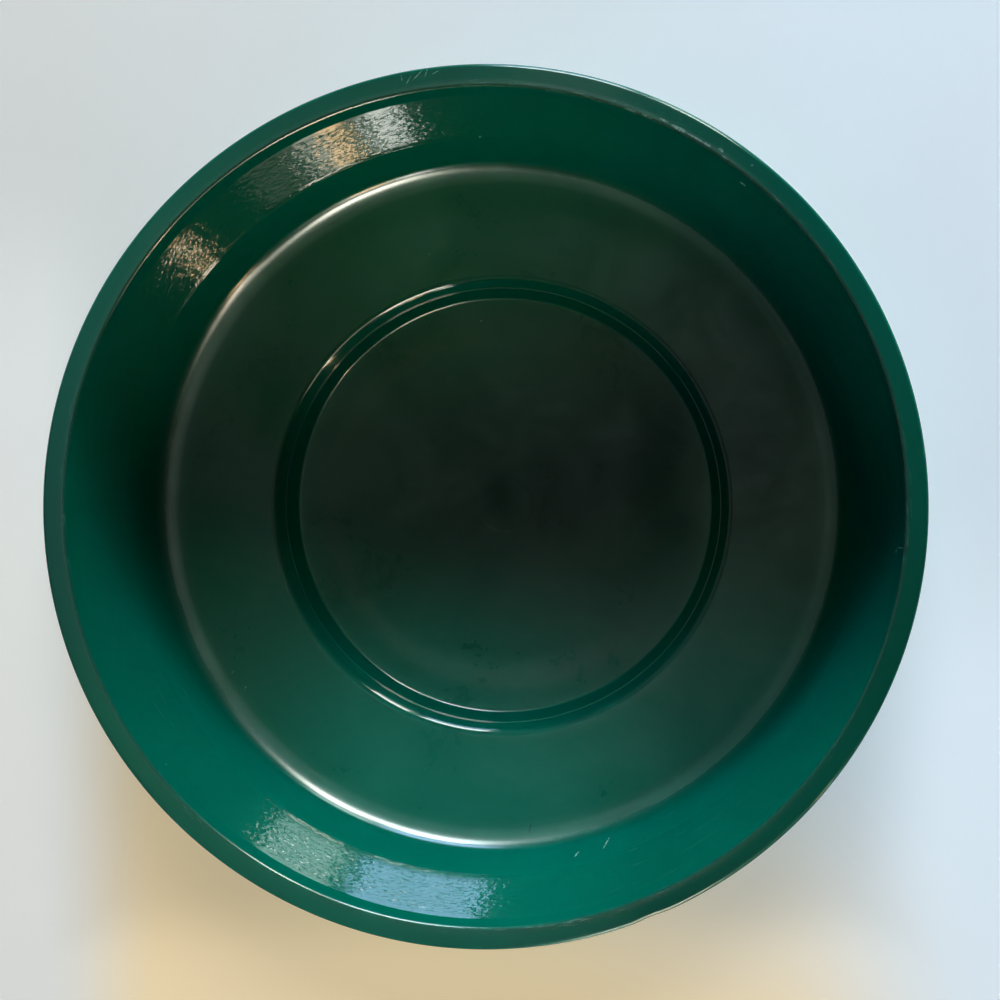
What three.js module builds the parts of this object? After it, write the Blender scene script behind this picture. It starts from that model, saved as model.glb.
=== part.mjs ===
// Gold pan: a one-piece moulded shell, turned about the Z axis.
// Millimetres, +Z up. The origin is the centre of the underside, on the plane
// the pan rests on. One radial section, inside and outside, is revolved.

import * as THREE from 'three';

const SEGMENTS = 72; // divisible by 4, so the rim reaches its full diameter on X and Y
const HEIGHT = 52.8; // resting plane to the crest of the ridge
const WALL = 2.6; // nominal shell thickness

// Inside corners before rounding: radii from the axis, depths below the ridge.
const RIDGE_RADIUS = 168;
const UPPER_RADIUS = 167; // top of the sloping wall
const UPPER_DEPTH = 6.5;
const CREASE_RADIUS = 155; // where the sloping wall turns steep
const CREASE_DEPTH = 22;
const LEDGE_RADIUS = 148.2; // foot of the steep band
const LEDGE_DEPTH = 40;
const STEP_RADIUS = 99.8; // inner edge of the ledge
const BREAK_RADIUS = 96; // inner side of the narrow break half way down the step
const BREAK_WIDTH = 0.9;
const BREAK_DEPTH = 44.2;
const BREAK_FALL = 0.25; // across the width of the break
const FLOOR_RADIUS = 92.4;
const FLOOR_DEPTH = 49.6; // floor ring
const DISC_RADIUS = 82; // where the middle of the floor starts to sink
const SUNK_RADIUS = 74; // where it has sunk
const SUNK_DEPTH = HEIGHT - WALL;

// Turned-down lip round the rim.
const LIP_RADIUS = 177.8; // outer edge (14 in pan)
const LIP_DEPTH = 6.6; // lower edge
const LIP_TOP_DEPTH = 0.9; // outer top corner, before rounding
const LIP_TAPER = 0.2; // thinning at the lower edge
const LIP_ROOT_DROP = 1.4; // underside corner, below the wall thickness

// How far each outside corner lies beyond the inside one, and below it.
const BEYOND = { floor: 1.6, step: 1.7, ledge: 2, crease: 2.6, upper: 3.3, ridge: 2.4 };
const BELOW = { crease: 1.2, upper: 1.4, ridge: WALL + 0.2 };

// Small shifts of the inside corners at the ridge.
const RIDGE_INSET = 0.2;
const RIDGE_RISE = 0.02;
const UPPER_SHIFT = 0.3; // outward

// Depth below the ridge to height above the resting plane.
const up = (depth) => HEIGHT - depth;

// Corners as [radius, height, rounding radius, rounding steps]; sharp without the last two.
// They run from the middle of the underside, up the outside, over the rim,
// down the inside and back to the axis.
const ledgeUnderside = up(LEDGE_DEPTH) - WALL;
const lipInner = LIP_RADIUS - WALL;
const corners = [
  // underside and outside
  [0, 0],
  [FLOOR_RADIUS + BEYOND.floor, 0, 2.6, 3],
  [STEP_RADIUS + BEYOND.step, ledgeUnderside, 2, 2],
  [LEDGE_RADIUS + BEYOND.ledge, ledgeUnderside, 9, 4],
  [CREASE_RADIUS + BEYOND.crease, up(CREASE_DEPTH + BELOW.crease), 2, 2],
  [UPPER_RADIUS + BEYOND.upper, up(UPPER_DEPTH + BELOW.upper), 1.5, 2],
  [RIDGE_RADIUS + BEYOND.ridge, up(BELOW.ridge), 1.2, 2],
  // lip
  [lipInner, up(WALL + LIP_ROOT_DROP), 1.6, 2],
  [lipInner + LIP_TAPER, up(LIP_DEPTH)],
  [LIP_RADIUS, up(LIP_DEPTH)],
  [LIP_RADIUS, up(LIP_TOP_DEPTH), 3, 4],
  // ridge and inside
  [RIDGE_RADIUS - RIDGE_INSET, HEIGHT + RIDGE_RISE, 1.3, 3],
  [UPPER_RADIUS + UPPER_SHIFT, up(UPPER_DEPTH), 1.2, 2],
  [CREASE_RADIUS, up(CREASE_DEPTH), 1.5, 2],
  [LEDGE_RADIUS, up(LEDGE_DEPTH), 10, 6],
  [STEP_RADIUS, up(LEDGE_DEPTH), 3, 4],
  [BREAK_RADIUS + BREAK_WIDTH, up(BREAK_DEPTH), 0.4, 1],
  [BREAK_RADIUS, up(BREAK_DEPTH + BREAK_FALL), 0.4, 1],
  [FLOOR_RADIUS, up(FLOOR_DEPTH), 2, 3],
  [DISC_RADIUS, up(FLOOR_DEPTH)],
  [SUNK_RADIUS, up(SUNK_DEPTH)],
  [0, up(SUNK_DEPTH)],
];

// Points of one corner: the corner itself, or the arc tangent to both its sides.
function cornerPoints([x, y, radius, steps], i, all) {
  const corner = new THREE.Vector2(x, y);
  if (!radius) return [corner];
  const sideTo = ([sideX, sideY]) => new THREE.Vector2(sideX, sideY).sub(corner).normalize();
  const back = sideTo(all[i - 1]);
  const ahead = sideTo(all[i + 1]);
  const half = back.angleTo(ahead) / 2;
  const centre = back.clone().add(ahead).setLength(radius / Math.sin(half)).add(corner);
  const start = corner.clone().addScaledVector(back, radius / Math.tan(half));
  const sweep = Math.sign(ahead.cross(back)) * (Math.PI - 2 * half);
  return Array.from({ length: steps + 1 }, (_, k) =>
    start.clone().rotateAround(centre, (sweep * k) / steps));
}

function makePan() {
  const shell = new THREE.LatheGeometry(corners.flatMap(cornerPoints), SEGMENTS);
  shell.rotateX(Math.PI / 2); // the turning axis becomes Z
  const green = new THREE.MeshStandardMaterial({
    color: 0x0f6b55,
    roughness: 0.28,
    metalness: 0,
  });
  const pan = new THREE.Mesh(shell, green);
  pan.name = 'pan';
  return pan;
}

const group = new THREE.Group();
group.add(makePan());

export default group;
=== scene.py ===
import bpy
import math
import numpy as np
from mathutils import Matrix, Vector


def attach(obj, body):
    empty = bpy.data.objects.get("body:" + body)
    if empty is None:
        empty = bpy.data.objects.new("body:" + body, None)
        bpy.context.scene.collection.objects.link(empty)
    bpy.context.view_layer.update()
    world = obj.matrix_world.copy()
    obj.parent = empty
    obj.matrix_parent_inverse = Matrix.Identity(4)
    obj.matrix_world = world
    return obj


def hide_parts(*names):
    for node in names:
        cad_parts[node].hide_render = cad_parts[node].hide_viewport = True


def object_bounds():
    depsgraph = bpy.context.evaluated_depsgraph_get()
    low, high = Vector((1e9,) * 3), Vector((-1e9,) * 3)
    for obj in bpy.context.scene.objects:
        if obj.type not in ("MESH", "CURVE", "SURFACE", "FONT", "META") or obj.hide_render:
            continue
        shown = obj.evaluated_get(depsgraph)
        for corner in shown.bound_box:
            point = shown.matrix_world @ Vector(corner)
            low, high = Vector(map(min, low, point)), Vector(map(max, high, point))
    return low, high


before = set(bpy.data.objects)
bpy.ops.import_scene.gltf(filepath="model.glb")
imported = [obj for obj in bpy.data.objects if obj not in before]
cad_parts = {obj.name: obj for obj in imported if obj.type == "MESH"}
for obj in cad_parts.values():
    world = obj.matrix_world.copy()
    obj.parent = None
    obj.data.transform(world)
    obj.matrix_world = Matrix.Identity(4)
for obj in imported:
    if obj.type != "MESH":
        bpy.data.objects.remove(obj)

cad_box = [list(map(float, v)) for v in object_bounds()]
scene = bpy.context.scene
MM = 0.001

# ---------------------------------------------------------------- section
# The same radial section as the CAD part, in millimetres, with fine corners.
HEIGHT = 52.8
WALL = 2.6
R_LIP, LIP_DROP = 177.8, 6.6
R_RIDGE, RIDGE_DROP, R_UPPER = 168.0, 6.5, 167.0
R_CREASE, Z_CREASE = 155.0, 22.0
R_LEDGE, Z_LEDGE = 148.2, 40.0
R_STEP_TOP, R_STEP_MID, R_FLOOR = 99.8, 96.0, 92.4
Z_STEP_MID, Z_FLOOR = 44.2, 49.6
R_DISC, R_SUNK, Z_DISC = 82.0, 74.0, 50.2


def up(depth):
    return HEIGHT - depth


def rounded(corners):
    """A polyline of (radius, height, corner radius) with its corners rounded finely."""
    out = []
    for i, c in enumerate(corners):
        x, y, r = (tuple(c) + (0,))[:3]
        if not r or i in (0, len(corners) - 1):
            out.append((x, y))
            continue
        p = Vector((x, y))
        a = Vector(corners[i - 1][:2]) - p
        b = Vector(corners[i + 1][:2]) - p
        half = a.angle(b) / 2
        cut = r / math.tan(half)
        ua, ub = a.normalized(), b.normalized()
        centre = p + (ua + ub).normalized() * (r / math.sin(half))
        f = p + ua * cut - centre
        t = p + ub * cut - centre
        sweep = math.atan2(t.y, t.x) - math.atan2(f.y, f.x)
        sweep = (sweep + math.pi) % (2 * math.pi) - math.pi
        n = max(3, int(math.ceil(abs(sweep) / math.radians(6.0))))
        for k in range(n + 1):
            cs, sn = math.cos(sweep * k / n), math.sin(sweep * k / n)
            out.append((centre.x + f.x * cs - f.y * sn, centre.y + f.x * sn + f.y * cs))
    return out


OUTSIDE = [
    (0, 0), (R_FLOOR + 1.6, 0, 2.6), (R_STEP_TOP + 1.7, up(Z_LEDGE) - WALL, 2.0),
    (R_LEDGE + 2.0, up(Z_LEDGE) - WALL, 9.0), (R_CREASE + 2.6, up(Z_CREASE) - 1.2, 2.0),
    (R_UPPER + 3.3, up(RIDGE_DROP) - 1.4, 1.5), (R_RIDGE + 2.4, up(WALL + 0.2), 1.2),
    (R_LIP - WALL, up(WALL + 1.4), 1.6), (R_LIP - WALL + 0.2, up(LIP_DROP), 0.5),
    (R_LIP, up(LIP_DROP), 0.5), (R_LIP, up(0.9), 2.0),
]
INSIDE = [
    (R_RIDGE - 0.2, up(-0.02), 1.3), (R_UPPER + 0.3, up(RIDGE_DROP), 1.2),
    (R_CREASE + 1.1, up(Z_CREASE - 1.3), 0.9), (R_CREASE, up(Z_CREASE - 0.18), 0.9),
    (R_LEDGE, up(Z_LEDGE), 10.0), (R_STEP_TOP, up(Z_LEDGE), 4.2),
    (R_STEP_MID + 0.5, up(Z_STEP_MID), 0.3), (R_STEP_MID, up(Z_STEP_MID + 0.25), 0.4),
    (R_FLOOR, up(Z_FLOOR), 2.0), (R_DISC, up(Z_FLOOR), 30.0), (R_SUNK, up(Z_DISC), 30.0),
    (12.6, up(Z_DISC), 1.0), (11.6, up(Z_DISC + 0.14), 1.0), (0, up(Z_DISC + 0.14)),
]
corners = rounded(OUTSIDE + INSIDE)

# Long straight runs are cut into short ones, so that the surface can move.
line = [corners[0]]
for (x0, y0), (x1, y1) in zip(corners, corners[1:]):
    d = math.hypot(x1 - x0, y1 - y0)
    if d < 1e-6:
        continue
    step = 3.4 if max(x0, x1) < 147 else 1.0
    n = max(1, int(math.ceil(d / step)))
    for k in range(1, n + 1):
        line.append((x0 + (x1 - x0) * k / n, y0 + (y1 - y0) * k / n))
prof = np.array(line)
arc = np.concatenate([[0], np.cumsum(np.hypot(*np.diff(prof, axis=0).T))])
crest = int(np.argmax(prof[:, 1]))          # ridge crest: everything after it is inside

# ---------------------------------------------------------------- shell mesh
SEG = 512
ang = np.arange(SEG) * 2 * math.pi / SEG
ring_r, ring_z = prof[1:-1, 0], prof[1:-1, 1]
R = np.repeat(ring_r[:, None], SEG, 1)
Z = np.repeat(ring_z[:, None], SEG, 1)
A = np.repeat(ang[None, :], len(ring_r), 0)


def bump_at(deg, width):
    d = (np.degrees(A) - deg + 180) % 360 - 180
    return np.exp(-0.5 * (d / width) ** 2)


# The lip isn't perfectly true, and carries one small nick.
outer = np.clip((R - 170.0) / 6.0, 0, 1)
chip = bump_at(-6.2, 0.32) * np.exp(-0.5 * ((R - 168.4) / 0.9) ** 2) * (Z > HEIGHT - 4)
R = R - outer * 0.10 * (1 + np.sin(3 * A + 0.7)) - outer * 0.55 * bump_at(-68.0, 1.3)
Z = Z - np.clip((R - 150.0) / 20.0, 0, 1) * 0.07 * (1 + np.sin(2 * A + 1.9)) - 0.8 * chip
Z = np.minimum(Z, cad_box[1][2] / MM - 0.004)

xyz = np.stack([R * np.cos(A), R * np.sin(A), Z], -1).reshape(-1, 3) * MM
verts = np.vstack([xyz, [[0, 0, prof[0, 1] * MM], [0, 0, prof[-1, 1] * MM]]])
n_ring = len(ring_r)
pole_lo, pole_hi = n_ring * SEG, n_ring * SEG + 1
j = np.arange(SEG)
k = (j + 1) % SEG
faces = []
for i in range(n_ring - 1):
    faces.extend(zip((i * SEG + j).tolist(), (i * SEG + k).tolist(),
                     ((i + 1) * SEG + k).tolist(), ((i + 1) * SEG + j).tolist()))
faces.extend(zip([pole_lo] * SEG, k.tolist(), j.tolist()))
last = (n_ring - 1) * SEG
faces.extend(zip([pole_hi] * SEG, (last + j).tolist(), (last + k).tolist()))

mesh = bpy.data.meshes.new("pan_shell")
mesh.from_pydata(verts.tolist(), [], faces)
mesh.validate()
for p in mesh.polygons:
    p.use_smooth = True


def ring_attribute(name, values):
    """One number per ring of the section, plus the two poles."""
    full = np.concatenate([np.repeat(np.asarray(values)[1:-1], SEG), [values[0]], [values[-1]]])
    att = mesh.attributes.new(name, "FLOAT", "POINT")
    att.data.foreach_set("value", full.astype(np.float32))


def smooth(x, a, b):
    t = np.clip((x - a) / (b - a), 0, 1)
    return t * t * (3 - 2 * t)


idx = np.arange(len(prof))
inside = (idx >= crest).astype(float)
r_all, z_all = prof[:, 0], prof[:, 1]
slope = np.abs(np.gradient(z_all, arc + np.arange(len(arc)) * 1e-9))
top = (idx >= crest - 40) & (r_all > 166)
flat = (1 - smooth(slope, 0.25, 0.62)) * (r_all < 150) * (1 - ((r_all > 93.2) & (r_all < 98.4)))
satin = (1 - smooth(slope, 0.28, 0.80)) * (r_all < 151.5) * (1 - ((r_all > 93.2) & (r_all < 101.4)))
visible_top = np.where((idx >= crest) | ((z_all > HEIGHT - 5) & (idx > crest - 40)), 1.0, 0.0)
wall = smooth(r_all, 149.5, 152.5) * inside * (1 - smooth(r_all, 166.0, 167.2))
upper = smooth(r_all, 154.6, 156.6) * inside * (1 - smooth(r_all, 166.0, 167.0))
ridge = np.exp(-0.5 * ((arc - arc[crest]) / 1.1) ** 2)
lip = np.exp(-0.5 * ((r_all - 177.6) / 0.9) ** 2) * (z_all > HEIGHT - 5)
disc = inside * (1 - smooth(r_all, 88.0, 93.0))
crease = np.exp(-0.5 * ((r_all - 155.6) / 0.8) ** 2) * inside
rim = smooth(r_all, 168.2, 169.2) * (z_all > HEIGHT - 5) * (idx < crest + 1)
ring_attribute("slant", arc)
ring_attribute("flat", flat * visible_top)
ring_attribute("satin", satin * visible_top)
ring_attribute("upper", upper)
ring_attribute("wall", wall)
ring_attribute("ridge", ridge)
ring_attribute("lip", lip)
ring_attribute("disc", disc)
ring_attribute("rim", rim)
ring_attribute("crease", crease)
ring_attribute("fillet", inside * smooth(r_all, 140.0, 143.5) * (1 - smooth(r_all, 149.0, 150.5)))
ring_attribute("inner", inside)

pan = bpy.data.objects.new("pan_shell", mesh)
scene.collection.objects.link(pan)
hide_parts("pan")
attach(pan, "root")


# ---------------------------------------------------------------- material helpers
class Nodes:
    def __init__(self, mat):
        mat.use_nodes = True
        self.t = mat.node_tree
        self.t.nodes.clear()

    def new(self, kind, **props):
        n = self.t.nodes.new(kind)
        for a, b in props.items():
            setattr(n, a, b)
        return n

    def put(self, node, socket, value):
        s = node.inputs[socket]
        if hasattr(value, "links"):
            self.t.links.new(value, s)
        elif value is not None:
            s.default_value = value

    def math(self, op, a, b=None, clamp=False):
        n = self.new("ShaderNodeMath", operation=op, use_clamp=clamp)
        self.put(n, 0, a)
        if b is not None:
            self.put(n, 1, b)
        return n.outputs[0]

    def attr(self, name):
        return self.new("ShaderNodeAttribute", attribute_name=name).outputs["Fac"]

    def noise(self, vector, scale, detail=2.0, rough=0.5, dist=0.0):
        n = self.new("ShaderNodeTexNoise")
        self.put(n, "Vector", vector)
        self.put(n, "Scale", scale)
        self.put(n, "Detail", detail)
        self.put(n, "Roughness", rough)
        self.put(n, "Distortion", dist)
        return n.outputs["Fac"]

    def ramp(self, value, lo, hi, a=0.0, b=1.0):
        n = self.new("ShaderNodeMapRange", clamp=True)
        n.interpolation_type = "SMOOTHSTEP"
        self.put(n, "Value", value)
        self.put(n, "From Min", lo)
        self.put(n, "From Max", hi)
        self.put(n, "To Min", a)
        self.put(n, "To Max", b)
        return n.outputs[0]

    def mix(self, fac, a, b):
        n = self.new("ShaderNodeMix", data_type="RGBA")
        self.put(n, 0, fac)
        self.put(n, 6, a)
        self.put(n, 7, b)
        return n.outputs[2]


# ---------------------------------------------------------------- green plastic
mat = bpy.data.materials.new("green_plastic")
n = Nodes(mat)
pos = n.new("ShaderNodeTexCoord").outputs["Object"]
sep = n.new("ShaderNodeSeparateXYZ")
n.put(sep, 0, pos)
flatxy = n.new("ShaderNodeCombineXYZ")
n.put(flatxy, 0, sep.outputs[0])
n.put(flatxy, 1, sep.outputs[1])
unit = n.new("ShaderNodeVectorMath", operation="NORMALIZE")
n.put(unit, 0, flatxy.outputs[0])
slant = n.attr("slant")


def around(along, across, seed=0.0):
    """Coordinates with one unit per `along` mm round the pan and `across` mm down the section."""
    s = n.new("ShaderNodeVectorMath", operation="SCALE")
    n.put(s, 0, unit.outputs[0])
    n.put(s, "Scale", 160.0 / along)
    sp = n.new("ShaderNodeSeparateXYZ")
    n.put(sp, 0, s.outputs[0])
    c = n.new("ShaderNodeCombineXYZ")
    n.put(c, 0, sp.outputs[0])
    n.put(c, 1, sp.outputs[1])
    n.put(c, 2, n.math("ADD", n.math("DIVIDE", slant, across), seed))
    return c.outputs[0]


flat_m, upper_m, wall_m = n.attr("flat"), n.attr("upper"), n.attr("wall")
satin_m = n.attr("satin")
ridge_m, lip_m, rim_m, disc_m = n.attr("ridge"), n.attr("lip"), n.attr("rim"), n.attr("disc")

cloud = n.noise(pos, 22.0, 4.0, 0.62, 0.6)
blotch = n.noise(pos, 70.0, 3.0, 0.6, 0.8)
fine = n.noise(pos, 240.0, 3.0, 0.6)
grit = n.noise(pos, 1500.0, 2.0, 0.6)


def spot_mask(x, y, rx, ry, soft=1.0):
    """A soft oval patch centred on (x, y) mm with half widths rx and ry mm."""
    dx = n.math("DIVIDE", n.math("SUBTRACT", sep.outputs[0], x * MM), rx * MM)
    dy = n.math("DIVIDE", n.math("SUBTRACT", sep.outputs[1], y * MM), ry * MM)
    d = n.math("SQRT", n.math("ADD", n.math("MULTIPLY", dx, dx), n.math("MULTIPLY", dy, dy)))
    d = n.math("ADD", d, n.math("MULTIPLY", n.math("SUBTRACT", blotch, 0.5), 0.5))
    return n.ramp(d, 1.0 + soft * 0.5, max(0.0, 1.0 - soft * 0.9))


def radial_mask(r, w, x0=0.0, y0=0.0):
    """A soft ring of radius r and half width w mm about (x0, y0) mm."""
    dx = n.math("SUBTRACT", sep.outputs[0], x0 * MM)
    dy = n.math("SUBTRACT", sep.outputs[1], y0 * MM)
    d = n.math("SQRT", n.math("ADD", n.math("MULTIPLY", dx, dx), n.math("MULTIPLY", dy, dy)))
    return n.ramp(n.math("ABSOLUTE", n.math("SUBTRACT", d, r * MM)), w * MM, 0.0)


# base colour: deep green, a little cloudy, painted paler on the flats as a painted sheen
green = n.mix(n.ramp(cloud, 0.35, 0.7), (0.0000, 0.160, 0.098, 1), (0.0002, 0.180, 0.112, 1))
dull = n.math("ADD", n.math("ADD", 0.40, n.math("MULTIPLY", cloud, 0.70)), n.math("MULTIPLY", blotch, 0.26))
smear = n.math("MAXIMUM", spot_mask(70, 0, 15, 44), n.math("MULTIPLY", spot_mask(-2, 4, 7, 10), 0.6))
smear = n.math("MAXIMUM", smear, n.math("MULTIPLY", spot_mask(-100, 42, 14, 20), 0.8))
smear = n.math("MAXIMUM", smear, n.math("MULTIPLY", spot_mask(-128, -14, 22, 34), 0.85))
dull = n.math("MULTIPLY", dull, n.math("SUBTRACT", 1.0, n.math("MULTIPLY", smear, 0.6)))
dull = n.math("MULTIPLY", dull, n.math("ADD", 0.84, n.math("MULTIPLY", fine, 0.14)))

# short strokes where something has struck or dragged: (x, y, half length, half width, turn), mm and degrees
STROKES = [
    (-6.0, 155.2, 0.7, 0.45, 0), (-118.0, -73.2, 1.2, 0.28, 40), (-112.7, -80.2, 1.4, 0.28, 50),
    (33.9, -148.8, 1.5, 0.30, 35), (46.5, -144.6, 2.4, 0.32, 50), (-11.0, 82.5, 0.8, 0.35, 10),
    (-32.0, 110.3, 0.8, 0.5, 0), (-30.6, 170.6, 2.6, 0.22, 62), (-27.2, 172.4, 3.4, 0.26, 48),
    (-23.6, 173.8, 2.6, 0.20, 74), (-20.0, 173.6, 1.9, 0.22, 30), (-33.5, 171.4, 1.6, 0.20, 100),
    (58.5, 158.2, 4.5, 0.50, -20), (64.5, 155.9, 3.0, 0.60, -22), (71.3, 154.4, 2.2, 0.45, -25),
    (77.5, 150.9, 4.2, 0.95, -27), (84.5, 147.0, 5.5, 0.45, -30), (88.5, 144.8, 2.2, 0.70, -32),
    (94.0, 142.4, 1.5, 0.95, -34), (95.7, 139.4, 2.0, 0.40, -35), (103.3, 131.0, 2.0, 0.35, -38),
    (106.5, 136.5, 0.5, 0.45, 0), (165.6, -18.0, 1.3, 0.32, 82), (166.5, -16.6, 0.8, 0.28, 20),
]

# rubbed, paler plastic along the ridge and the lip
scuff_n = n.noise(around(9.0, 0.8, 5.0), 1.0, 4.0, 0.7)
scuff_big = n.noise(around(60.0, 30.0, 2.0), 1.0, 1.0, 0.5)
edge_m = n.math("MAXIMUM", ridge_m, lip_m)
scuff = n.math("MULTIPLY", n.ramp(scuff_n, 0.55, 0.64), n.ramp(scuff_big, 0.42, 0.58))
scuff = n.math("MULTIPLY", scuff, edge_m, clamp=True)
# two scraped places on the rim, broken into short strokes
scrape_n = n.noise(around(3.0, 0.9, 8.0), 1.0, 4.0, 0.75, 0.4)
scrape = n.math("MULTIPLY", spot_mask(66, 146, 27, 13, 1.4), n.ramp(scrape_n, 0.54, 0.62))
scrape = n.math("MAXIMUM", scrape, n.math("MULTIPLY", spot_mask(-24, 172, 9, 6, 1.4), n.ramp(scrape_n, 0.58, 0.68)))
scrape = n.math("MULTIPLY", scrape, n.math("MAXIMUM", rim_m, edge_m), clamp=True)
# small pale nicks scattered over the inside, and a few fine drag marks on the lower wall
fleck_n = n.new("ShaderNodeTexVoronoi")
n.put(fleck_n, "Vector", pos)
n.put(fleck_n, "Scale", 62.0)
fleck_c = n.new("ShaderNodeSeparateColor")
n.put(fleck_c, 0, fleck_n.outputs["Color"])
fleck = n.math("MULTIPLY", n.ramp(fleck_n.outputs["Distance"], 0.034, 0.018), n.ramp(fleck_c.outputs[0], 0.90, 0.93))
drag_n = n.noise(around(22.0, 0.55, 3.0), 1.0, 2.0, 0.6, 0.6)
drag = n.math("MULTIPLY", n.ramp(drag_n, 0.66, 0.74), n.math("MAXIMUM", spot_mask(75, -136, 42, 20, 1.6), spot_mask(-125, -75, 14, 26, 1.6)))
drag = n.math("MULTIPLY", drag, wall_m)


def nick(x, y, length, wide, deg):
    """A short stroke centred on (x, y) mm, turned by deg."""
    c, s = math.cos(math.radians(deg)), math.sin(math.radians(deg))
    dx = n.math("SUBTRACT", sep.outputs[0], x * MM)
    dy = n.math("SUBTRACT", sep.outputs[1], y * MM)
    a = n.math("ADD", n.math("MULTIPLY", dx, c / (length * MM)), n.math("MULTIPLY", dy, s / (length * MM)))
    b = n.math("ADD", n.math("MULTIPLY", dx, -s / (wide * MM)), n.math("MULTIPLY", dy, c / (wide * MM)))
    d = n.math("SQRT", n.math("ADD", n.math("MULTIPLY", a, a), n.math("MULTIPLY", b, b)))
    return n.ramp(d, 1.0, 0.45)


marks = None
for stroke in STROKES:
    one = nick(*stroke)
    marks = one if marks is None else n.math("MAXIMUM", marks, one)
marks = n.math("MULTIPLY", marks, n.ramp(n.noise(pos, 900.0, 2.0, 0.6), 0.38, 0.55, 0.2, 1.0))
dark_mark = n.math("MULTIPLY", nick(12.3, -141.6, 3.2, 0.30, 75), 0.8)
# painted highlight: a paler band on the outer lip towards -y stands in for the cream highlight along its rounding
lip_painted_highlight = n.math("MULTIPLY", lip_m, spot_mask(46, -172, 38, 14, 1.0))
# real scuffs, scrapes, marks, nicks and drags together with the painted lip highlight: paler, rougher and less shiny
wear_and_painted_highlight = n.math("MAXIMUM", n.math("MULTIPLY", scuff, 0.30), n.math("MULTIPLY", scrape, 0.15))
wear_and_painted_highlight = n.math("MAXIMUM", wear_and_painted_highlight, n.math("MULTIPLY", marks, 1.0))
wear_and_painted_highlight = n.math("MAXIMUM", wear_and_painted_highlight, n.math("MULTIPLY", lip_painted_highlight, 0.6))
wear_and_painted_highlight = n.math("MAXIMUM", wear_and_painted_highlight, n.math("MULTIPLY", fleck, 0.6))
wear_and_painted_highlight = n.math("MAXIMUM", wear_and_painted_highlight, n.math("MULTIPLY", drag, 0.22))

# painted shade: the floor inside the step is painted darker, for the shade at the bottom of the pan
green = n.mix(n.math("MULTIPLY", disc_m, 0.44), green, (0.0, 0.05, 0.03, 1))
# painted sheen: the flats are painted paler where their satin shine shows, and less where they are smeared
flat_painted_sheen = n.math("MULTIPLY", flat_m, dull, clamp=True)
green = n.mix(n.math("MULTIPLY", flat_painted_sheen, 0.5), green, (0.006, 0.205, 0.142, 1))
# painted light: the rim band is painted paler towards its left and right sides, more so on the left
side = n.math("ABSOLUTE", n.math("DIVIDE", sep.outputs[0], 0.172))
side = n.math("MULTIPLY", n.math("MULTIPLY", side, side), n.ramp(sep.outputs[0], -0.05, 0.05, 1.0, 0.58))
green = n.mix(n.math("MULTIPLY", rim_m, side, clamp=True), green, (0.012, 0.42, 0.26, 1))
green = n.mix(wear_and_painted_highlight, green, (0.22, 0.60, 0.46, 1))
green = n.mix(dark_mark, green, (0.002, 0.03, 0.02, 1))

# roughness: polished walls, satin flats
rough = n.math("ADD", 0.07, n.math("MULTIPLY", satin_m, n.ramp(cloud, 0.3, 0.7, 0.19, 0.28)))
rough = n.math("ADD", rough, n.math("MULTIPLY", n.ramp(fine, 0.3, 0.8), 0.025))
rough = n.math("ADD", rough, n.math("MULTIPLY", rim_m, 0.04))
rough = n.math("ADD", rough, n.math("MULTIPLY", ridge_m, 0.10))
rough = n.math("ADD", rough, n.math("MULTIPLY", n.attr("fillet"), 0.08))
rough = n.math("ADD", rough, n.math("MULTIPLY", wear_and_painted_highlight, 0.3))

# ripple on the sloping wall, slow waviness everywhere, fine grain on the flats
peel = n.noise(around(3.0, 0.95, 1.0), 1.0, 1.5, 0.5, 0.3)
wave = n.noise(around(16.0, 6.0, 9.0), 1.0, 1.0, 0.5)
height = n.math("MULTIPLY", n.math("SUBTRACT", peel, 0.5), n.math("MULTIPLY", upper_m, 0.115))
height = n.math("ADD", height, n.math("MULTIPLY", n.math("SUBTRACT", wave, 0.5), 0.04))
height = n.math("ADD", height, n.math("MULTIPLY", grit, n.math("MULTIPLY", flat_m, 0.0022)))
height = n.math("SUBTRACT", height, n.math("MULTIPLY", wear_and_painted_highlight, 0.010))
bump = n.new("ShaderNodeBump")
n.put(bump, "Strength", 1.0)
n.put(bump, "Distance", MM)
n.put(bump, "Height", height)

bsdf = n.new("ShaderNodeBsdfPrincipled")
n.put(bsdf, "Base Color", green)
n.put(bsdf, "Roughness", rough)
n.put(bsdf, "IOR", 1.5)
# reflections of reflections are left out, and the flats shine less where they are smeared
path = n.new("ShaderNodeLightPath")
shine = n.math("MULTIPLY", 0.5, n.math("SUBTRACT", 1.0, n.math("MULTIPLY", flat_m, n.math("SUBTRACT", 1.0, dull, clamp=True))))
shine = n.math("MULTIPLY", shine, n.math("SUBTRACT", 1.0, n.math("MULTIPLY", path.outputs["Is Glossy Ray"], 1.0)))
low = n.ramp(sep.outputs[1], 0.0, -0.05)
shine = n.math("MULTIPLY", shine, n.math("SUBTRACT", 1.0, n.math("MULTIPLY", disc_m, 0.16)))
shine = n.math("MULTIPLY", shine, n.math("SUBTRACT", 1.0, n.math("MULTIPLY", n.attr("crease"), n.math("ADD", 0.30, n.math("MULTIPLY", low, 0.45)))))
shine = n.math("MULTIPLY", shine, n.math("ADD", 1.0, n.math("ADD", n.math("MULTIPLY", ridge_m, 0.9), n.math("MULTIPLY", n.attr("fillet"), n.ramp(sep.outputs[0], 0.02, 0.10, 1.2, 0.30)))))
shine = n.math("MULTIPLY", shine, n.math("SUBTRACT", 1.0, n.math("MULTIPLY", wear_and_painted_highlight, 0.8)))
shine = n.math("MULTIPLY", shine, n.math("SUBTRACT", 1.0, n.math("MULTIPLY", rim_m, n.ramp(sep.outputs[0], 0.08, 0.15, 0.15, 0.80))))
n.put(bsdf, "Specular IOR Level", shine)
n.put(bsdf, "Normal", bump.outputs[0])
out = n.new("ShaderNodeOutputMaterial")
n.put(out, "Surface", bsdf.outputs[0])
mesh.materials.append(mat)

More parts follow.
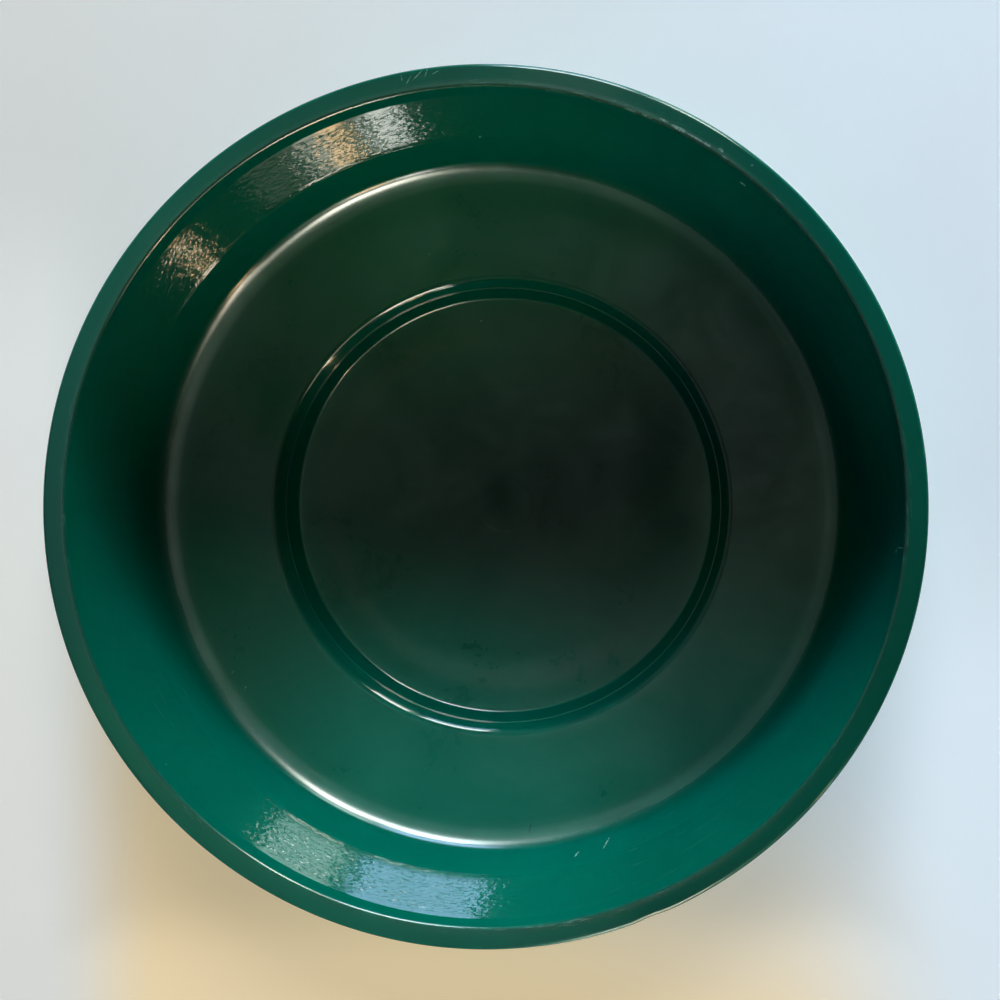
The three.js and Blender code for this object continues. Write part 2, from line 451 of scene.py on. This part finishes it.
# ---------------------------------------------------------------- floor
floor_mesh = bpy.data.meshes.new("floor")
S = 3.0
floor_mesh.from_pydata([(-S, -S, -0.0003), (S, -S, -0.0003), (S, S, -0.0003), (-S, S, -0.0003)], [], [(0, 1, 2, 3)])
floor = bpy.data.objects.new("floor", floor_mesh)
scene.collection.objects.link(floor)
fmat = bpy.data.materials.new("pale_floor")
m = Nodes(fmat)
fpos = m.new("ShaderNodeTexCoord").outputs["Object"]
fsep = m.new("ShaderNodeSeparateXYZ")
m.put(fsep, 0, fpos)
soft = m.noise(fpos, 6.0, 3.0, 0.5)
# painted shadow: the floor is tinted warm beige below the pan, towards -y and fading with distance, where the pan's
# shadow falls
warm = m.ramp(m.math("ADD", fsep.outputs[1], m.math("MULTIPLY", fsep.outputs[0], 0.45)), -0.22, -0.02, 1.0, 0.0)
warm = m.math("MULTIPLY", warm, m.math("MULTIPLY", m.ramp(fsep.outputs[0], 0.12, 0.22, 1.0, 0.12), m.ramp(fsep.outputs[0], -0.208, -0.155, 0.10, 1.0)))
away = m.math("SQRT", m.math("ADD", m.math("MULTIPLY", fsep.outputs[0], fsep.outputs[0]), m.math("MULTIPLY", fsep.outputs[1], fsep.outputs[1])))
warm = m.math("MULTIPLY", warm, m.ramp(away, 0.32, 0.70, 1.0, 0.0))
# painted light: the floor colour goes from grey to pale blue towards +x, the colour of the daylight falling there
cool = m.mix(m.ramp(fsep.outputs[0], -0.25, 0.2), (0.665, 0.70, 0.70, 1), (0.66, 0.79, 0.90, 1))
tint = m.mix(warm, cool, (0.82, 0.66, 0.40, 1))
tint = m.mix(m.ramp(soft, 0.3, 0.7, 0.0, 0.10), tint, (0.5, 0.5, 0.5, 1))
fb = m.new("ShaderNodeBsdfPrincipled")
m.put(fb, "Base Color", tint)
m.put(fb, "Roughness", 0.85)
m.put(fb, "Emission Color", tint)
# painted light: on top of its even glow, the floor glows brighter below the pan and beside its left and right edges
painted_floor_light = m.math("MULTIPLY", m.ramp(fsep.outputs[1], -0.17, -0.21), 0.16)
left = m.math("MULTIPLY", m.ramp(fsep.outputs[0], -0.168, -0.215), m.ramp(fsep.outputs[1], 0.17, 0.06))
right = m.math("MULTIPLY", m.ramp(fsep.outputs[0], 0.15, 0.20), m.ramp(fsep.outputs[1], 0.02, -0.10))
painted_floor_light = m.math("MAXIMUM", painted_floor_light, m.math("MULTIPLY", m.math("MAXIMUM", left, right), 0.16))
m.put(fb, "Emission Strength", m.math("ADD", painted_floor_light, 0.60))
fbump = m.new("ShaderNodeBump")
m.put(fbump, "Strength", 0.25)
m.put(fbump, "Distance", 0.001)
m.put(fbump, "Height", m.noise(fpos, 60.0, 3.0, 0.5))
m.put(fb, "Normal", fbump.outputs[0])
fo = m.new("ShaderNodeOutputMaterial")
# seen from below, the floor is clear, so that the underside can be looked at
clear = m.new("ShaderNodeBsdfTransparent")
either = m.new("ShaderNodeMixShader")
m.put(either, 0, m.new("ShaderNodeNewGeometry").outputs["Backfacing"])
m.put(either, 1, fb.outputs[0])
m.put(either, 2, clear.outputs[0])
m.put(fo, "Surface", either.outputs[0])
floor_mesh.materials.append(fmat)

# ---------------------------------------------------------------- light
world = bpy.data.worlds.new("studio")
scene.world = world
world.use_nodes = True
w = world.node_tree
w.nodes.clear()
wt = w.nodes.new("ShaderNodeTexCoord")
ws = w.nodes.new("ShaderNodeSeparateXYZ")
wm = w.nodes.new("ShaderNodeMapRange")
wm.interpolation_type = "SMOOTHSTEP"
wm.inputs["From Min"].default_value = 0.75
wm.inputs["From Max"].default_value = 1.03
wx = w.nodes.new("ShaderNodeMix")
wx.data_type = "RGBA"
wx.inputs[6].default_value = (0.008, 0.009, 0.009, 1)
wx.inputs[7].default_value = (0.20, 0.19, 0.18, 1)
world.cycles_visibility.diffuse = False
wb = w.nodes.new("ShaderNodeBackground")
wo = w.nodes.new("ShaderNodeOutputWorld")
w.links.new(wt.outputs["Generated"], ws.inputs[0])
w.links.new(ws.outputs[2], wm.inputs["Value"])
w.links.new(wm.outputs[0], wx.inputs[0])
# the room itself is pale where the camera looks straight at it
wp = w.nodes.new("ShaderNodeLightPath")
wc = w.nodes.new("ShaderNodeMix")
wc.data_type = "RGBA"
wc.inputs[7].default_value = (0.66, 0.70, 0.73, 1)
w.links.new(wp.outputs["Is Camera Ray"], wc.inputs[0])
w.links.new(wx.outputs[2], wc.inputs[6])
w.links.new(wc.outputs[2], wb.inputs[0])
w.links.new(wb.outputs[0], wo.inputs[0])


def only_on(ob, *receivers):
    """The light reaches only these objects."""
    group = bpy.data.collections.new(ob.name + "_on")
    for r in receivers:
        group.objects.link(r)
    ob.light_linking.receiver_collection = group


def panel(name, centre, width, tall, radiance, colour=(1, 1, 1), glossy=True, diffuse=True, broken=0.0, aim=(0, 0, 0.03)):
    light = bpy.data.lights.new(name, "AREA")
    light.shape = "RECTANGLE"
    light.size, light.size_y = width, tall
    light.energy = radiance * math.pi * width * tall
    light.color = colour
    if broken:
        # brightness varies over the panel, as behind a curtain
        light.use_nodes = True
        t = light.node_tree
        em = [x for x in t.nodes if x.type == "EMISSION"][0]
        geo = t.nodes.new("ShaderNodeNewGeometry")
        mp = t.nodes.new("ShaderNodeMapping")
        mp.inputs["Scale"].default_value = (3.0, 12.0, 1.0)
        nz = t.nodes.new("ShaderNodeTexNoise")
        nz.inputs["Scale"].default_value = 1.3
        nz.inputs["Detail"].default_value = 2.0
        mr = t.nodes.new("ShaderNodeMapRange")
        mr.inputs["From Min"].default_value = 0.35
        mr.inputs["From Max"].default_value = 0.65
        mr.inputs["To Min"].default_value = 1.0 - broken
        mr.inputs["To Max"].default_value = 1.0 + broken
        t.links.new(geo.outputs["Parametric"], mp.inputs[0])
        t.links.new(mp.outputs[0], nz.inputs["Vector"])
        t.links.new(nz.outputs["Fac"], mr.inputs["Value"])
        t.links.new(mr.outputs[0], em.inputs["Strength"])
    ob = bpy.data.objects.new(name, light)
    ob.location = centre
    ob.rotation_mode = "QUATERNION"
    ob.rotation_quaternion = (Vector(aim) - Vector(centre)).to_track_quat("-Z", "Y")
    ob.visible_glossy = glossy
    ob.visible_diffuse = diffuse
    scene.collection.objects.link(ob)
    return ob


def toward(az, el, dist=1.6, z0=0.03):
    """A point at y-down azimuth az and elevation el from the pan."""
    a, e = math.radians(az), math.radians(el)
    return (dist * math.cos(a) * math.cos(e), -dist * math.sin(a) * math.cos(e), z0 + dist * math.sin(e))


# Panels seen only as reflections: (name, azimuth, lowest and highest elevation, width in degrees, radiance, colour)
MIRROR = [
    ("window_a", 271.0, 0.0, 18.0, 19.5, 1.15, (3.6, 5.6, 8.8), 0.42),
    ("window_b", 290.0, 0.0, 18.0, 12.5, 1.20, (3.6, 4.8, 4.6), 0.45),
    ("window_a_top", 271.0, 24.0, 44.0, 18.0, 24.0, (0.84, 0.97, 1.0), 0.0),
    ("window_b_top", 290.0, 24.0, 44.0, 12.0, 24.0, (0.95, 1.0, 0.93), 0.0),
    ("window_high", 278.0, 44.0, 54.0, 34.0, 0.3, (0.88, 0.98, 1.0), 0.0),
    ("lamp", 47.3, 8.5, 13.5, 2.8, 22.0, (1.0, 0.68, 0.35), 0.6),
    ("lamp_top", 47.3, 22.0, 38.0, 3.4, 22.0, (1.0, 0.88, 0.66), 0.0),
    ("side_dim", 66.5, 3.0, 16.0, 9.0, 0.85, (1.0, 0.98, 0.80), 0.5),
    ("side_pale", 73.4, 3.0, 16.0, 4.0, 6.0, (1.0, 0.98, 0.84), 0.8),
    ("side_warm", 77.0, 3.0, 16.0, 3.5, 17.0, (1.0, 0.67, 0.36), 0.8),
    ("side_cool", 85.0, 3.0, 16.0, 4.6, 13.5, (0.98, 1.0, 0.92), 0.85),
    ("side_gap", 81.2, 3.0, 16.0, 3.0, 2.2, (1.0, 1.0, 0.85), 0.7),
    ("side_top", 78.0, 25.0, 41.0, 19.0, 20.0, (1.0, 0.95, 0.80), 0.0),
    ("side_wide_top", 57.0, 31.0, 48.0, 40.0, 2.6, (1.0, 0.95, 0.80), 0.0),
    ("left_dim", 180.0, 32.0, 60.0, 60.0, 0.22, (1.0, 1.0, 1.0), 0.0),
    ("low_dim", 120.0, 40.0, 60.0, 60.0, 0.24, (1.0, 1.0, 1.0), 0.0),
    ("high_dim", 240.0, 40.0, 60.0, 60.0, 0.24, (1.0, 1.0, 1.0), 0.0),
]
for name, az, lo, hi, wide, radiance, colour, broken in MIRROR:
    mid = (lo + hi) / 2
    panel(name, toward(az, mid), 2 * 1.6 * math.tan(math.radians(wide / 2)) * math.cos(math.radians(mid)),
          2 * 1.6 * math.tan(math.radians((hi - lo) / 2)), radiance, colour, diffuse=False, broken=broken)

# Soft lights that shade the pan and don't show as reflections:
# (azimuth, elevation, width m, height m, radiance in red and green, radiance in blue)
PAN_SOFT = [
    (66, 7, 0.42, 0.2, 7.681, 3.991),
    (88, 7, 0.42, 0.2, 11.11, 12.172),
    (176, 7, 0.42, 0.2, 0, 1.21),
    (220, 7, 0.42, 0.2, 0.35, 0.26),
    (242, 7, 0.42, 0.2, 0.996, 0.847),
    (264, 7, 0.42, 0.2, 5.0, 7.5),
    (286, 7, 0.42, 0.2, 34.635, 26.763),
    (90, 16, 0.42, 0.24, 0, 3.188),
    (0, 52, 0.8, 0.6, 0, 0.064),
    (180, 52, 0.8, 0.6, 0.206, 0.14),
    (0, 85, 0.8, 0.8, 0.121, 0.006),
    (275, 5, 0.3, 0.08, 7.709, 0),
    (275, 8, 0.3, 0.08, 122.0, 172.0),
    (250, 11, 0.3, 0.08, 0, 0.412),
    (262, 11, 0.3, 0.08, 0, 3.612),
    (275, 11, 0.3, 0.08, 23.011, 36.291),
    (288, 11, 0.3, 0.08, 0, 6.482),
    (88, 12, 0.3, 0.1, 8.424, 2.975),
]
for i, (az, el, wd, ht, g, bl) in enumerate(PAN_SOFT):
    ob = panel("soft_%d" % i, toward(az, el), wd, ht, 1.0, (g, g, bl), glossy=False)
    only_on(ob, pan)
# Soft pools of light from above: (x m, y m, radius m, watts in red and green, watts in blue)
PAN_SPOT = [
    (-0.02, -0.135, 0.1, 8.2, 8.8),
    (-0.1, -0.1, 0.1, 2.876, 2.468),
    (0.085, -0.115, 0.1, 2.459, 2.668),
    (0, 0.135, 0.1, 1.671, 0.679),
    (-0.09, 0.1, 0.1, 0.78, 0.017),
]
for i, (x, y, rad, g, bl) in enumerate(PAN_SPOT):
    light = bpy.data.lights.new("pool_%d" % i, "SPOT")
    light.shadow_soft_size = 0.04
    light.spot_size = 2 * math.atan(rad / 0.7)
    light.spot_blend = 1.0
    light.energy = 1.0
    light.color = (g, g, bl)
    ob = bpy.data.objects.new("pool_%d" % i, light)
    ob.rotation_mode = "QUATERNION"
    ob.visible_glossy = False
    ob.location = (x * 0.6, y * 0.6, 0.72)
    ob.rotation_quaternion = (Vector((x, y, 0.02)) - ob.location).to_track_quat("-Z", "Y")
    scene.collection.objects.link(ob)
    only_on(ob, pan)

# The floor has its own broad soft light, so that the pan's shadow on it stays faint
ob = panel("floor_soft", toward(277, 36, 2.2), 1.5, 0.9, 5.4, (1.0, 1.0, 1.0), glossy=False)
only_on(ob, floor)

# Two soft lights below the floor show the underside in views from beneath
for i, (x, y, power) in enumerate(((0.5, 0.4, 1.3), (-0.6, -0.3, 0.8))):
    ob = panel("under_%d" % i, (x, y, -0.9), 0.6, 0.6, power, (1.0, 1.0, 1.0), aim=(0, 0, 0))
    only_on(ob, pan)
    ob.light_linking.blocker_collection = ob.light_linking.receiver_collection

# ---------------------------------------------------------------- camera
F_PX, N_PX, C_PX, DIST = 1002.6, (669.0, 488.0), (485.2, 507.0), 0.400
cam_data = bpy.data.cameras.new("camera")
cam = bpy.data.objects.new("camera", cam_data)
scene.collection.objects.link(cam)
cam.location = ((N_PX[0] - C_PX[0]) * DIST / F_PX, (C_PX[1] - N_PX[1]) * DIST / F_PX, cad_box[1][2] + DIST)
cam.rotation_euler = (0, 0, 0)
cam_data.sensor_width = 36.0
cam_data.lens = 36.0 * F_PX / 1000.0
cam_data.clip_start, cam_data.clip_end = 0.01, 20.0
scene.camera = cam


def shift_here(channel, value, x):
    """The lens shift holds only where the main camera stands; from anywhere else it is zero."""
    curve = cam_data.driver_add(channel)
    for mod in list(curve.modifiers):
        curve.modifiers.remove(mod)
    curve.driver.type = "SUM"
    for _ in range(10):
        var = curve.driver.variables.new()
        var.type = "TRANSFORMS"
        var.targets[0].id = cam
        var.targets[0].transform_type = "LOC_X"
        var.targets[0].transform_space = "WORLD_SPACE"
    pts = curve.keyframe_points
    while len(pts):
        pts.remove(pts[0])
    for px, py in ((10 * x - 4.0, 0.0), (10 * x - 0.02, value), (10 * x + 0.02, 0.0), (10 * x + 4.0, 0.0)):
        pts.insert(px, py).interpolation = "CONSTANT"
    for kp in pts:
        kp.interpolation = "CONSTANT"
    curve.extrapolation = "CONSTANT"


shift_here("shift_x", (500.0 - N_PX[0]) / 1000.0, cam.location.x)
shift_here("shift_y", (N_PX[1] - 500.0) / 1000.0, cam.location.x)

scene.view_settings.view_transform = "Standard"
scene.view_settings.look = "None"
